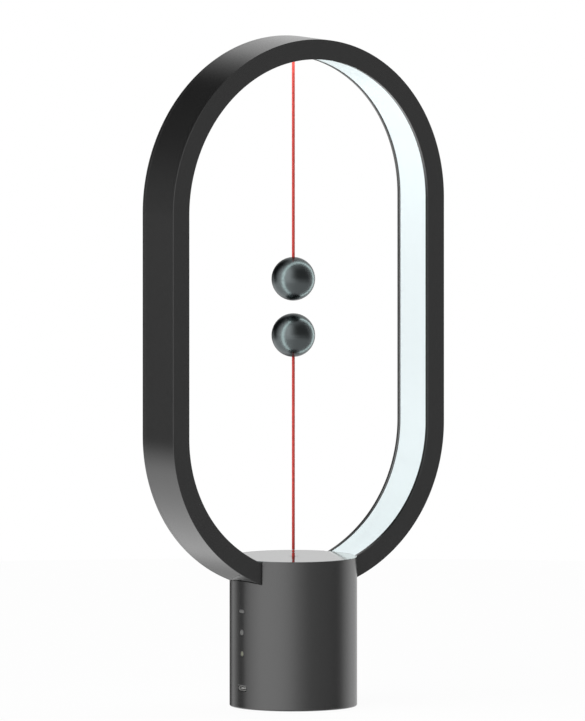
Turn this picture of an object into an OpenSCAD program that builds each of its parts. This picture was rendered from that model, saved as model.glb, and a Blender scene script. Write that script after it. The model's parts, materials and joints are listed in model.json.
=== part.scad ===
// Balance lamp: a lit loop on a round base, with two balls on red cords whose magnets
// pull each other. Lifting the lower ball closes a pull switch inside the base.
// Millimetres, +Z up, the loop faces -Y, the controls face -X.
// The origin is the middle of the underside.

/* [Lamp] */
// Height of the whole lamp
lamp_h = 400; // [370:1:430]

/* [Loop] */
// Width of the loop, outside to outside
loop_w = 200; // [186:1:216]
// Depth of the loop, front to back
loop_d = 31; // [29:0.5:34]
// Width of the loop's front face, from outer to inner edge
loop_face = 12; // [11:0.5:15]
// Thickness of the front wall and of the back cover
loop_wall = 2.6; // [2:0.1:3.2]
// Thickness of the outer band between front wall and back cover
band_t = 2.2; // [1.6:0.1:2.6]
// Depth of the loop's lowest point below the base's top
loop_sink = 19.9; // [19:0.1:21]
// How much the lower end is flatter than a half circle
loop_flatten = 3.7; // [1:0.1:4.5]
// Sideways distance of each lower corner arc's centre from the middle
corner_offset = 6; // [5.8:0.1:8]

/* [Light] */
// Thickness of the opal diffuser's face
diffuser_t = 1.6; // [1.2:0.1:2]
// Depth of the diffuser's face behind the loop's inner edge
diffuser_recess = 0.4; // [0.2:0.1:1]
// Thickness of the diffuser's two legs
leg_t = 1.2; // [0.8:0.1:1.4]
// Width of the light strip
strip_w = 8; // [6:0.5:9]
// Thickness of the light strip
strip_t = 0.8; // [0.4:0.1:1.2]
// Gap between the strip's two halves at the top and the bottom
strip_gap = 14; // [12:1:18]
// Distance between the light chips
chip_pitch = 16; // [12:1:24]
// Width of a light chip, front to back
chip_w = 3.5; // [2.8:0.1:5]
// Length of a light chip along the strip
chip_l = 2.8; // [2:0.1:3.5]
// Height of a light chip
chip_h = 0.9; // [0.6:0.1:1.4]

/* [Base] */
// Diameter of the base
base_d = 76; // [74:0.5:86]
// Height of the base's top
base_h = 89.6; // [89:0.2:104]
// Thickness of the base's wall
shell_t = 2.5; // [2:0.1:3]
// Height of the wall's lower edge above the surface that the lamp stands on
skirt_gap = 0.3; // [0.2:0.1:0.8]
// Rounding of the wall's lower outer edge
skirt_round = 0.8; // [0.4:0.1:1.2]
// Thickness of the rubber foot
foot_t = 1.2; // [1:0.1:2]
// Thickness of the bottom cover
cover_t = 2.5; // [2:0.1:3.5]
// Thickness of the top cap
cap_t = 2.4; // [2:0.1:3]
// Width of the wall's rim that shows round the cap
cap_rim = 0.8; // [0.5:0.1:1.2]
// Chamfer on the rim's outer edge
rim_chamfer = 0.3; // [0.1:0.1:0.4]
// Diameter of the inner screw posts
post_d = 6; // [5:0.5:6.5]
// Height of the bottom cover's screw posts
post_h = 12; // [10:1:13]

/* [Balls] */
// Diameter of each ball
ball_d = 26; // [24:0.5:28]
// Air gap between the two balls
ball_gap = 7.7; // [5:0.1:12]
// Wall thickness of a ball
ball_wall = 1.8; // [1.4:0.1:2.4]
// Diameter of the magnets
magnet_d = 16; // [12:0.5:17]
// Thickness of the magnets
magnet_t = 5; // [3:0.5:6]
// Plastic left between a magnet and the pole of its ball
magnet_cover = 5.2; // [5.2:0.1:6]

/* [Cords] */
// Diameter of the red cord
cord_d = 1.8; // [1.4:0.1:2]
// Diameter of a knot
knot_d = 3.4; // [3:0.1:3.8]
// Length of the short flexing piece's clearance beyond its bush
bend_room = 1; // [1:0.1:1.6]

/* [Side controls] */
// Height of the charging port's middle
port_z = 12.7; // [12:0.1:15]
// Depth of the flat mode button below the base's top
mode_drop = 30.9; // [30.9:0.1:33]
// Distance from the flat button down to the round one, and on to the charge light
mark_pitch = 12.7; // [11:0.1:12.9]
// Width of the charging port's metal shell
port_w = 7.6; // [7.4:0.1:7.8]
// Height of the charging port's metal shell
port_h = 2.9; // [2.7:0.1:3]
// Diameter of the round button
power_d = 3.2; // [2.6:0.1:4]
// Width of the flat button
mode_w = 4.6; // [4:0.1:5.4]
// Height of the flat button
mode_h = 1.8; // [1.5:0.1:2.4]
// Diameter of the charge light
light_d = 3; // [2:0.1:3.6]
// Travel of both buttons
button_travel = 0.5; // [0.3:0.1:0.6]
// How far the buttons stand out of the wall
button_proud = 0.3; // [0.2:0.1:0.6]
// Thickness of the control board
board_t = 1.6; // [1:0.1:2]
// Width of the control board
board_w = 22; // [20:0.5:23]
// Distance from the wall's inside to the control board
board_gap = 3.9; // [3.7:0.1:4.4]

/* [Pull switch] */
// Travel of the pull switch
pull_travel = 2; // [1.5:0.1:2.5]
// Outer diameter of the cord guide
guide_d = 6; // [5.4:0.1:6.6]
// Thickness of the saddle plate that carries the loop
saddle_t = 3; // [2.6:0.1:3.6]
// Length of the loop's bosses above the saddle plate
boss_l = 4.2; // [3.8:0.1:4.4]
// Inner diameter of the slider's cage
cage_bore = 11; // [10.6:0.1:11.4]
// Wall thickness of the cage
cage_wall = 1.3; // [1:0.1:1.6]
// Height of the slider
slider_h = 5; // [4.4:0.1:5.6]
// Free room for the return spring above the slider
spring_room = 7.5; // [7:0.1:8.5]
// Wire thickness of the return spring
wire_d = 0.5; // [0.4:0.05:0.6]
// Number of turns of the return spring
spring_turns = 5; // [4:1:7]
// Length of the switch lever, from its pin to its tip
lever_l = 15; // [14:0.5:15.5]

/* [Weight and battery] */
// Free height between the battery and the pull switch, which the iron weight leaves
cell_gap = 8.3; // [8:0.1:12]
// Diameter of the battery cell
cell_d = 18.3; // [16:0.1:18.5]
// Length of the battery cell
cell_l = 49.6; // [45:0.1:50]
// Sideways place of the battery's middle
cell_x = 2; // [1:0.5:4]

/* [Screws] */
// Diameter of the larger screws
screw_d = 2.6; // [2.2:0.1:3]
// Diameter of the smaller screws
small_screw_d = 1.8; // [1.6:0.1:2]

/* [Clearances] */
// Clearance round a fixed piece in its seat
seat = 0.1; // [0.05:0.05:0.15]
// Clearance all round the loop where it enters the base
loop_clear = 0.15; // [0.1:0.05:0.25]
// Radial clearance of the cord in the holes that it runs through
cord_clear = 0.3; // [0.2:0.05:0.4]
// Radial clearance of a sliding or turning piece
running = 0.07; // [0.05:0.01:0.1]
// Gap left before a stop
stop_gap = 0.1; // [0.05:0.05:0.15]

/* [Hidden] */
$fn = 96;
cut = 1; // how far a cutting shape runs past what it cuts

head_share = 0.6; // height of a screw's head for each millimetre of its diameter

// Colours, as the photograph shows them
LOOP_BLACK = "#363636";
SHELL_GREY = "#4a4a4a";
OPAL = "#edf6fa";
RED = "#cd4b46";
GUNMETAL = "#2a2c2d";
BUTTON_GREY = "#9a9a98";
STEEL = "#b9bbbd";
NYLON = "#e6e4dc";
BOARD_GREEN = "#2f6b45";
WIRE_WHITE = "#f0f0ee";

// Loop outline: a half circle on top, straight sides and three arcs below
loop_bottom = base_h - loop_sink;
loop_a = loop_w / 2;
low_b = loop_a - loop_flatten;
top_z = lamp_h - loop_a;
low_z = loop_bottom + low_b;
corner_r = loop_a - corner_offset;
wide_r = (loop_a * loop_a + low_b * low_b - 2 * loop_a * corner_r) / (2 * (low_b - corner_r));
wide_rise = wide_r - low_b;
wide_angle = atan2(corner_offset, wide_rise);
half_depth = loop_d / 2;
front_y = -half_depth + loop_wall;
back_y = half_depth - loop_wall;
opal_inset = loop_face - diffuser_recess;
chip_inset = band_t + strip_t + 0.02;

// Height of the loop's lower arc at a sideways place, drawn in by inset
function loop_low(x, inset) = low_z + wide_rise - sqrt(pow(wide_r - inset, 2) - x * x);
// Height of the loop's top arc at a sideways place, drawn in by inset
function loop_high(x, inset) = top_z + sqrt(pow(loop_a - inset, 2) - x * x);

// Base
base_r = base_d / 2;
inner_r = base_r - shell_t;
cap_bottom = base_h - cap_t;
cover_top = foot_t + cover_t;
head_h = head_share * screw_d;
post_r = inner_r - post_d / 2 + 0.4;
post_angles = [45, 135, 225, 315];
ledge_w = 12;
ledge_depth = 6.8;
ledge_h = 12;
saddle_screw_y = inner_r - 3.9;

// Saddle and pull switch, from the loop downwards
saddle_top = loop_bottom - boss_l;
saddle_bottom = saddle_top - saddle_t;
boss_x = 22;
boss_d = 8;
slider_top = saddle_bottom - spring_room;
slider_bottom = slider_top - slider_h;
cage_r = cage_bore / 2 + cage_wall;
cage_flange_r = cage_r + 3.8;
cage_lip_t = 1.5;
cage_bottom = slider_bottom - pull_travel - stop_gap - cage_lip_t;
cage_flange_t = 1.5;
cage_screw_r = cage_flange_r - 1.9;
guide_flange_t = 2;
guide_flange_r = guide_d / 2 + 3;
guide_bore = cord_d + 2 * cord_clear;
tab_reach = cage_r + 2.2;
tab_w = 2.4;
tab_top = slider_top - 2;
tab_t = 2.4;
window_w = tab_w + 1.2;
lever_t = 0.4;
lever_w = 3.2;
knuckle_r = 1.1;
lever_tip = cage_r + 0.6;
lever_pin_x = lever_tip + lever_l;
lever_pin_z = tab_top + stop_gap + lever_t;
lever_pin_d = 1;
switch_w = 5.8;
switch_h = 6;
switch_l = 12.8;
switch_x = lever_pin_x + 1 - switch_l;
switch_z = lever_pin_z + knuckle_r + 0.2;
switch_ear_t = 0.8;
switch_screw_x = [switch_x + 3.2, switch_x + switch_l - 3.2];
switch_screw_z = switch_z + switch_h - 1.6;
bracket_t = 2;

// Cap, eyelet and the two places where the cords bend
eyelet_flange_r = cord_d / 2 + cord_clear + 1.6;
eyelet_flange_t = 0.5;
eyelet_r = cord_d / 2 + cord_clear + 0.9;
cap_post_y = 24;
cap_post_d = 6.4;
cap_screw_grip = 10;
bush_flange_t = 0.6;
bush_bottom = top_z + loop_a - opal_inset - bush_flange_t;
bush_r = eyelet_r;
bush_flange_r = eyelet_flange_r;
anchor_w = 9;
anchor_bottom = loop_high(anchor_w / 2, opal_inset - diffuser_t) + stop_gap;
anchor_top = loop_high(anchor_w / 2, band_t) - stop_gap;
knot_r = knot_d / 2;
anchor_pocket = anchor_bottom + 2.4;
upper_bend_z = bush_bottom - bend_room;
lower_bend_z = base_h + pull_travel + bend_room;
bend_gap = 0.05;

// Balls
ball_r = ball_d / 2;
balls_mid = (lamp_h - loop_face + base_h) / 2;
upper_ball_z = balls_mid + (ball_d + ball_gap) / 2;
lower_ball_z = balls_mid - (ball_d + ball_gap) / 2;
hub_r = 3.4;
hub_bottom = 4;
lip_t = 1.3;
lip_depth = 1.2;
lip_r = ball_r - ball_wall - 0.3;

// Side controls and board
board_out = -(inner_r - board_gap);
board_in = board_out + board_t;
mode_z = base_h - mode_drop;
power_z = mode_z - mark_pitch;
light_z = power_z - mark_pitch;
board_bottom = port_z - 6.7;
board_top = mode_z + 2.8;
board_screw_y = board_w / 2 - 2.5;
board_screw_z = [port_z + 11.3, board_top - 9.5];
board_boss_d = 5;
flange_t = 0.8;
flange_out = -(inner_r - 0.4);
flange_in = flange_out + flange_t;
power_flange_d = power_d + 1.8;
mode_flange_w = mode_w + 1.8;
mode_flange_h = mode_h + 1.8;
button_face = -(base_r + button_proud - 0.1);
tact_w = 4.6;
tact_face = flange_in + button_travel + stop_gap;
plunger_d = 2;
port_mouth = -(base_r - 0.6);
port_wall = 0.3;

// Weight and battery
cradle_wall = 1.5;
cradle_floor = 2;
cell_r = cell_d / 2;
weight_top = cage_bottom - cell_gap - cell_d - seat - cradle_floor;
weight_r = post_r - post_d / 2 - 0.5;
weight_flat = board_in + 5;
cell_z = weight_top + cradle_floor + cell_r + seat;
cradle_half = cell_l / 2 + 4.2;
cradle_foot_x = 14;
cradle_foot_w = 8;
cradle_foot_t = 4;
contact_t = 0.4;
contact_w = 8;
wire_r = 0.7;
lead_x = -14;

// ---------------------------------------------------------------- shared shapes

// Filled outline of the loop seen from the front, drawn in by inset
module loop_outline(inset = 0) {
    reach = 2 * wide_r;
    intersection() {
        translate([0, top_z]) circle(loop_a - inset, $fn = 240);
        translate([-loop_w, top_z]) square([2 * loop_w, loop_w]);
    }
    translate([-loop_a + inset, low_z]) square([loop_w - 2 * inset, top_z - low_z]);
    for (side = [-1, 1])
        intersection() {
            translate([side * corner_offset, low_z]) circle(corner_r - inset, $fn = 240);
            polygon([
                [side * corner_offset, low_z],
                [side * (corner_offset + reach), low_z],
                [side * (corner_offset + reach * sin(wide_angle)), low_z - reach * cos(wide_angle)]
            ]);
        }
    intersection() {
        translate([0, low_z + wide_rise]) circle(wide_r - inset, $fn = 240);
        polygon([
            [-corner_offset, low_z],
            [corner_offset, low_z],
            [corner_offset + reach * sin(wide_angle), low_z - reach * cos(wide_angle)],
            [-corner_offset - reach * sin(wide_angle), low_z - reach * cos(wide_angle)]
        ]);
    }
}

// Band of the loop's outline between two insets
module loop_ring(outer, inner) {
    difference() {
        loop_outline(outer);
        loop_outline(inner);
    }
}

// Pushes a front view outline from one depth to another
module across(from, to) {
    translate([0, to, 0]) rotate([90, 0, 0]) linear_extrude(to - from) children();
}

// Straight round piece between two heights
module upright(r, from, to) {
    translate([0, 0, from]) cylinder(r = r, h = to - from);
}

// Straight round piece along X between two places
module along_x(r, from, to) {
    translate([from, 0, 0]) rotate([0, 90, 0]) cylinder(r = r, h = to - from);
}

// Box given by its lowest and highest corners
module block(low, high) {
    translate(low) cube(high - low);
}

// Screw whose head rests on z = 0 and whose shank points up
module screw(d, length) {
    head_h = head_share * d;
    union() {
        upright(d / 2, -0.1, length);
        difference() {
            upright(0.95 * d, -head_h, 0);
            block([-d, -d / 9, -head_h - cut], [d, d / 9, -head_h / 2]);
        }
    }
}

// Hole that a screw of this diameter is screwed into
module pilot(d, from, to) {
    upright(d / 2 + 0.03, from, to);
}

// Hole that a screw of this diameter passes through
module clear_hole(d, from, to) {
    upright(d / 2 + 0.3, from, to);
}

// Outline with half round ends, its length along Y when it is pushed along X
module pill(length, width) {
    square([width, length - width], center = true);
    for (side = [-1, 1]) translate([0, side * (length - width) / 2]) circle(width / 2);
}

// Straight wire from one point to another, with a drop of glue round its far end
module wire(from, to) {
    step = to - from;
    union() {
        translate(from)
            rotate([0, acos(step[2] / norm(step)), atan2(step[1], step[0])])
                cylinder(r = wire_r, h = norm(step));
        translate(to) sphere(1.5 * wire_r, $fn = 32);
    }
}

// ---------------------------------------------------------------- loop

module loop_channel() {
    color(LOOP_BLACK) difference() {
        union() {
            across(-half_depth, front_y) loop_ring(0, loop_face);
            across(front_y, back_y) loop_ring(0, band_t);
            difference() {
                for (side = [-1, 1])
                    translate([side * boss_x, 0, 0])
                        upright(boss_d / 2, saddle_top, loop_bottom + loop_sink / 2);
                across(-boss_d, boss_d) loop_outline(band_t / 2);
            }
        }
        upright(guide_d / 2 + 2 * seat, loop_bottom - cut, loop_bottom + 2 * band_t);
        for (side = [-1, 1])
            translate([side * boss_x, 0, 0])
                pilot(screw_d, saddle_top - cut, loop_low(boss_x, 0) - 0.4);
        translate([lead_x, 0, 0]) upright(2 * wire_r, saddle_top, loop_bottom + 2 * band_t + 1);
    }
}

module loop_back_cover() {
    rib_in = back_y - 1.3;
    color(LOOP_BLACK) union() {
        across(back_y, half_depth) loop_ring(0, loop_face);
        across(rib_in, back_y) loop_ring(band_t + seat, band_t + seat + 1.2);
    }
}

module diffuser() {
    leg_in = strip_w / 2 + 0.9;
    color(OPAL) difference() {
        union() {
            across(front_y + seat, back_y - seat) loop_ring(opal_inset - diffuser_t, opal_inset);
            for (y = [-leg_in - leg_t, leg_in])
                across(y, y + leg_t) loop_ring(band_t, opal_inset - diffuser_t);
        }
        upright(guide_d / 2 + 2 * seat, loop_bottom, loop_bottom + loop_face + 2 * cut);
        upright(bush_r + seat / 2, bush_bottom, lamp_h - band_t);
    }
}

module led_strip() {
    color(NYLON) difference() {
        across(-strip_w / 2, strip_w / 2) loop_ring(band_t, band_t + strip_t);
        block([-strip_gap / 2, -strip_w, loop_bottom], [strip_gap / 2, strip_w, low_z]);
        block([-strip_gap / 2, -strip_w, top_z], [strip_gap / 2, strip_w, lamp_h]);
        translate([lead_x, 0, 0]) upright(2 * wire_r, loop_bottom, loop_bottom + 2 * band_t + 1);
    }
}

// One chip on an arc about the origin's height, at an angle from straight up
module chip_on_arc(r, angle) {
    rotate([0, angle, 0])
        translate([-chip_l / 2, -chip_w / 2, r - chip_h]) cube([chip_l, chip_w, chip_h]);
}

// Angles of chips that fit on an arc between two angles at the chips' pitch
function arc_angles(r, from, to) =
    let (count = max(1, floor((to - from) * PI / 180 * r / chip_pitch)))
    [for (i = [0 : count]) from + (to - from) * i / count];

module led_chips() {
    top_r = loop_a - chip_inset;
    low_r = corner_r - chip_inset;
    floor_r = wide_r - chip_inset;
    rise = chip_pitch * 180 / PI / top_r;
    gap_angle = asin((strip_gap / 2 + chip_l) / top_r);
    base_angle = asin((base_r + chip_l) / floor_r);
    side_count = floor((top_z - low_z) / chip_pitch);
    color("#f3e3a0") for (side = [-1, 1]) {
        translate([0, 0, top_z])
            for (angle = arc_angles(top_r, gap_angle, 90 - rise))
                chip_on_arc(top_r, side * angle);
        for (i = [0 : side_count])
            translate([0, 0, low_z + (top_z - low_z) * i / side_count])
                chip_on_arc(top_r, side * 90);
        translate([side * corner_offset, 0, low_z])
            for (angle = arc_angles(low_r, 90 + rise, 180 - wide_angle))
                chip_on_arc(low_r, side * angle);
        translate([0, 0, low_z + wide_rise])
            for (angle = arc_angles(floor_r, base_angle, wide_angle - rise))
                chip_on_arc(floor_r, side * (180 - angle));
    }
}

module upper_anchor() {
    color(NYLON) difference() {
        block([-anchor_w / 2, -anchor_w / 2, anchor_bottom], [anchor_w / 2, anchor_w / 2, anchor_top]);
        upright(bush_r + seat / 2, anchor_bottom - cut, anchor_bottom + 1);
        upright(cord_d / 2 + seat, anchor_bottom - cut, anchor_top + cut);
        upright(knot_r + seat, anchor_pocket, anchor_top + cut);
    }
}

module upper_bush() {
    color(STEEL) difference() {
        union() {
            upright(bush_flange_r, bush_bottom, bush_bottom + bush_flange_t - 0.1);
            upright(bush_r, bush_bottom, anchor_bottom + 0.9);
        }
        upright(cord_d / 2 + cord_clear, bush_bottom - cut, anchor_top);
    }
}

// ---------------------------------------------------------------- base

// Half section of the base's wall, with a rounded foot and a seat for the cap
module shell_section() {
    difference() {
        translate([inner_r, skirt_gap]) square([shell_t, base_h - skirt_gap]);
        translate([base_r - skirt_round, skirt_gap - cut]) square([skirt_round + cut, skirt_round + cut]);
        translate([inner_r - cut, cap_bottom]) square([shell_t + cut - cap_rim, cap_t + cut]);
        polygon([
            [base_r - rim_chamfer, base_h + cut / 9],
            [base_r + cut / 9, base_h - rim_chamfer],
            [base_r + cut, base_h + cut]
        ]);
    }
    intersection() {
        translate([base_r - skirt_round, skirt_gap + skirt_round]) circle(skirt_round);
        translate([base_r - skirt_round, skirt_gap]) square(skirt_round);
    }
}

// Ledge inside the wall that the saddle plate lies on
module saddle_ledge() {
    block(
        [-ledge_w / 2, inner_r - ledge_depth, saddle_bottom - ledge_h],
        [ledge_w / 2, inner_r + 0.7, saddle_bottom]
    );
}

module base_shell() {
    color(SHELL_GREY) difference() {
        union() {
            rotate_extrude($fn = 180) shell_section();
            for (angle = post_angles)
                rotate(angle) translate([post_r, 0, 0]) upright(post_d / 2, cover_top, cover_top + post_h);
            for (turn = [0, 180]) rotate(turn) saddle_ledge();
            for (y = [-board_screw_y, board_screw_y], z = board_screw_z)
                translate([0, y, z]) along_x(board_boss_d / 2, -inner_r - 0.1, board_out);
        }
        across(-half_depth - loop_clear, half_depth + loop_clear) loop_outline(-loop_clear);
        for (angle = post_angles)
            rotate(angle) translate([post_r, 0, 0])
                pilot(screw_d, cover_top - cut, cover_top + post_h - 2);
        for (side = [-1, 1])
            translate([0, side * saddle_screw_y, 0])
                clear_hole(screw_d, saddle_bottom - ledge_h - cut, saddle_bottom + cut);
        for (y = [-board_screw_y, board_screw_y], z = board_screw_z)
            translate([0, y, z]) along_x(small_screw_d / 2 + 0.03, board_out - 3, board_out + cut);
        translate([0, 0, power_z]) along_x(power_d / 2 + seat, -base_r - cut, -inner_r + cut);
        translate([0, 0, light_z]) along_x(light_d / 2 + seat / 2, -base_r - cut, -inner_r + cut);
        translate([-base_r - cut, 0, mode_z]) rotate([0, 90, 0])
            linear_extrude(shell_t + 2 * cut) pill(mode_w + 2 * seat, mode_h + 2 * seat);
        block(
            [-base_r - cut, -port_w / 2 - 2 * seat, port_z - port_h / 2 - 2 * seat],
            [-inner_r + cut, port_w / 2 + 2 * seat, port_z + port_h / 2 + 2 * seat]
        );
    }
}

module top_cap() {
    color(SHELL_GREY) difference() {
        union() {
            upright(base_r - cap_rim - 1.5 * seat, cap_bottom, base_h);
            for (side = [-1, 1])
                translate([0, side * cap_post_y, 0]) upright(cap_post_d / 2, saddle_top, cap_bottom);
        }
        across(-half_depth - loop_clear, half_depth + loop_clear)
            loop_ring(-loop_clear, loop_face + loop_clear);
        upright(eyelet_r + seat / 2, cap_bottom - cut, base_h + cut);
        upright(eyelet_flange_r + seat / 2, base_h - eyelet_flange_t, base_h + cut);
        for (side = [-1, 1])
            translate([0, side * cap_post_y, 0])
                pilot(screw_d, saddle_top - cut, saddle_top + cap_screw_grip);
    }
}

module cord_eyelet() {
    color(SHELL_GREY) difference() {
        union() {
            upright(eyelet_flange_r, base_h - eyelet_flange_t, base_h);
            upright(eyelet_r, cap_bottom, base_h - eyelet_flange_t);
        }
        upright(cord_d / 2 + cord_clear, cap_bottom - cut, base_h + cut);
    }
}

module loop_saddle() {
    bracket_low = switch_z + 0.4;
    color(NYLON) difference() {
        union() {
            upright(inner_r - 3 * seat, saddle_bottom, saddle_top);
            block(
                [switch_x, switch_w / 2, bracket_low],
                [switch_x + switch_l, switch_w / 2 + bracket_t, saddle_bottom]
            );
        }
        upright(guide_d / 2 + seat, saddle_bottom - cut, saddle_top + cut);
        for (side = [-1, 1]) {
            translate([side * boss_x, 0, 0]) clear_hole(screw_d, saddle_bottom - cut, saddle_top + cut);
            translate([0, side * cap_post_y, 0])
                clear_hole(screw_d, saddle_bottom - cut, saddle_top + cut);
            translate([0, side * saddle_screw_y, 0])
                pilot(screw_d, saddle_bottom - cut, saddle_top + cut);
            translate([0, side * cage_screw_r, 0])
                pilot(small_screw_d, saddle_bottom - cut, saddle_top - 0.6);
        }
        translate([lead_x, 0, 0]) upright(2 * wire_r, saddle_bottom - cut, saddle_top + cut);
        for (x = switch_screw_x)
            translate([x, switch_w / 2 - cut, switch_screw_z]) rotate([-90, 0, 0])
                cylinder(r = small_screw_d / 2 + 0.03, h = bracket_t + 2 * cut);
    }
}

module bottom_cover() {
    color(SHELL_GREY) difference() {
        upright(inner_r - 2 * seat, foot_t, cover_top);
        for (angle = post_angles)
            rotate(angle) translate([post_r, 0, 0]) {
                clear_hole(screw_d, foot_t - cut, cover_top + cut);
                upright(screw_d + 0.1, foot_t - cut, foot_t + head_h);
            }
        for (side = [-1, 1])
            translate([cell_x + side * cradle_foot_x, 0, 0]) {
                clear_hole(screw_d, foot_t - cut, cover_top + cut);
                upright(screw_d + 0.1, foot_t - cut, foot_t + head_h);
            }
    }
}

module foot_pad() {
    color("#262626") upright(inner_r - 5 * seat, 0, foot_t);
}

module iron_weight() {
    color("#5b5d5f") difference() {
        upright(weight_r, cover_top, weight_top);
        block([-base_r, -base_r, cover_top - cut], [weight_flat, base_r, weight_top + cut]);
        for (side = [-1, 1])
            translate([cell_x + side * cradle_foot_x, 0, 0])
                clear_hole(screw_d, cover_top - cut, weight_top + cut);
    }
}

// ---------------------------------------------------------------- battery

module battery() {
    cap_l = 0.8;
    color("#3f6fb0") translate([cell_x, 0, cell_z]) rotate([90, 0, 0]) union() {
        translate([0, 0, -cell_l / 2]) cylinder(r = cell_r, h = cell_l - cap_l);
        translate([0, 0, -cell_l / 2]) cylinder(r = 3, h = cell_l);
    }
}

module battery_cradle() {
    half_w = cell_r + seat + cradle_wall;
    color(NYLON) translate([cell_x, 0, 0]) difference() {
        union() {
            block([-half_w, -cradle_half, weight_top], [half_w, cradle_half, cell_z + 1]);
            block(
                [-cradle_foot_x - 4, -cradle_foot_w / 2, weight_top],
                [cradle_foot_x + 4, cradle_foot_w / 2, weight_top + cradle_foot_t]
            );
        }
        translate([0, cradle_half - cradle_wall, cell_z]) rotate([90, 0, 0])
            cylinder(r = cell_r + seat, h = 2 * (cradle_half - cradle_wall));
        block(
            [-cell_r - seat, -cradle_half + cradle_wall, cell_z],
            [cell_r + seat, cradle_half - cradle_wall, cell_z + cell_r]
        );
        for (side = [-1, 1])
            translate([side * cradle_foot_x, 0, 0])
                pilot(screw_d, weight_top - cut, weight_top + cradle_foot_t - 0.5);
    }
}

module battery_contacts() {
    plate_y = cradle_half - cradle_wall;
    color(STEEL) for (side = [-1, 1])
        translate([cell_x, side * plate_y, cell_z])
            rotate([side * 90, 0, 0]) union() {
                translate([-contact_w / 2, -contact_w / 2, 0]) cube([contact_w, contact_w, contact_t]);
                cylinder(r = 2.4, h = plate_y - cell_l / 2 - 0.05);
            }
}

// ---------------------------------------------------------------- controls

module control_board() {
    color(BOARD_GREEN) difference() {
        block([board_out, -board_w / 2, board_bottom], [board_in, board_w / 2, board_top]);
        for (y = [-board_screw_y, board_screw_y], z = board_screw_z)
            translate([0, y, z]) along_x(small_screw_d / 2 + 0.2, board_out - cut, board_in + cut);
    }
}

module board_parts() {
    // Each part: its middle across the board, its lower edge, width, height and thickness
    low = board_bottom;
    high = board_top;
    part = [
        [-4, low + 3, 5, 6, 1.6], [3, low + 12, 6, 6, 1.2],
        [-3, high - 23.5, 7, 7, 3], [4, high - 14.5, 4, 5, 1]
    ];
    color("#222222") for (p = part)
        block([board_in, p[0] - p[2] / 2, p[1]], [board_in + p[4], p[0] + p[2] / 2, p[1] + p[3]]);
}

module charging_port() {
    tongue_w = 3.8;
    tongue_t = 0.7;
    color(STEEL) union() {
        difference() {
            block(
                [port_mouth, -port_w / 2, port_z - port_h / 2],
                [board_out, port_w / 2, port_z + port_h / 2]
            );
            block(
                [port_mouth - cut, -port_w / 2 + port_wall, port_z - port_h / 2 + port_wall],
                [board_out - 0.8, port_w / 2 - port_wall, port_z + port_h / 2 - port_wall]
            );
        }
        block(
            [port_mouth + 1, -tongue_w / 2, port_z - tongue_t / 2],
            [board_out - 0.5, tongue_w / 2, port_z + tongue_t / 2]
        );
    }
}

module tact_switches() {
    color("#3a3a3a") for (z = [power_z, mode_z])
        difference() {
            block([tact_face, -tact_w / 2, z - tact_w / 2], [board_out, tact_w / 2, z + tact_w / 2]);
            translate([0, 0, z]) along_x(plunger_d / 2 + running, tact_face - cut, board_out - 0.2);
        }
}

module charge_led() {
    color("#d8f0c0") block([board_out - 0.9, -0.8, light_z - 0.8], [board_out, 0.8, light_z + 0.8]);
}

module charge_light() {
    color("#d9ded0") translate([0, 0, light_z]) union() {
        along_x(light_d / 2, -base_r + 0.05, board_out - 1);
        along_x(light_d / 2 + 0.7, flange_out, flange_in);
    }
}

// Plunger of a push switch on the board, behind a button's flange
module plunger(z) {
    color(NYLON) translate([0, 0, z]) along_x(plunger_d / 2, flange_in, tact_face + 0.3);
}

module power_button() {
    color(BUTTON_GREY) translate([0, 0, power_z]) union() {
        along_x(power_d / 2, button_face, flange_in);
        along_x(power_flange_d / 2, flange_out, flange_in);
    }
}

module power_plunger() {
    plunger(power_z);
}

module mode_button() {
    color(BUTTON_GREY) translate([0, 0, mode_z]) union() {
        translate([button_face, 0, 0]) rotate([0, 90, 0])
            linear_extrude(flange_in - button_face) pill(mode_w, mode_h);
        translate([flange_out, 0, 0]) rotate([0, 90, 0])
            linear_extrude(flange_t) pill(mode_flange_w, mode_flange_h);
    }
}

module mode_plunger() {
    plunger(mode_z);
}

// ---------------------------------------------------------------- pull switch

module cord_guide() {
    color(NYLON) difference() {
        union() {
            upright(guide_d / 2, slider_top + stop_gap, cap_bottom - seat);
            upright(guide_flange_r, saddle_top, saddle_top + guide_flange_t);
        }
        upright(guide_bore / 2, slider_top, base_h);
    }
}

module slider_cage() {
    color(NYLON) difference() {
        union() {
            upright(cage_r, cage_bottom, saddle_bottom);
            upright(cage_flange_r, saddle_bottom - cage_flange_t, saddle_bottom);
        }
        upright(cage_bore / 2, cage_bottom + cage_lip_t, saddle_bottom + cut);
        upright(cage_bore / 2 - 1.2, cage_bottom - cut, saddle_bottom);
        block(
            [0, -window_w / 2, tab_top - tab_t - pull_travel - 0.6],
            [cage_r + cut, window_w / 2, tab_top + 0.8]
        );
        for (side = [-1, 1])
            translate([0, side * cage_screw_r, 0])
                clear_hole(small_screw_d, saddle_bottom - cage_flange_t - cut, saddle_bottom + cut);
    }
}

// Points round the spring's wire at each step along its helix
function spring_ring(i, steps, r, from, rise) =
    [for (k = [0 : 5])
        let (turn = 360 * spring_turns * i / steps, a = 60 * k, out = r + wire_d / 2 * cos(a))
        [out * cos(turn), out * sin(turn), from + rise * i / steps + wire_d / 2 * sin(a)]];

module return_spring() {
    r = guide_d / 2 + 1.25;
    steps = 16 * spring_turns;
    from = slider_top + wire_d / 2 + 0.05;
    rise = spring_room - wire_d - 0.1;
    points = [for (i = [0 : steps]) each spring_ring(i, steps, r, from, rise)];
    sides = [for (i = [0 : steps - 1], k = [0 : 5])
        [6 * i + k, 6 * (i + 1) + k, 6 * (i + 1) + (k + 1) % 6, 6 * i + (k + 1) % 6]];
    first = [for (k = [0 : 5]) k];
    last = [for (k = [5 : -1 : 0]) 6 * steps + k];
    color(STEEL) polyhedron(points, concat([first], sides, [last]));
}

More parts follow.
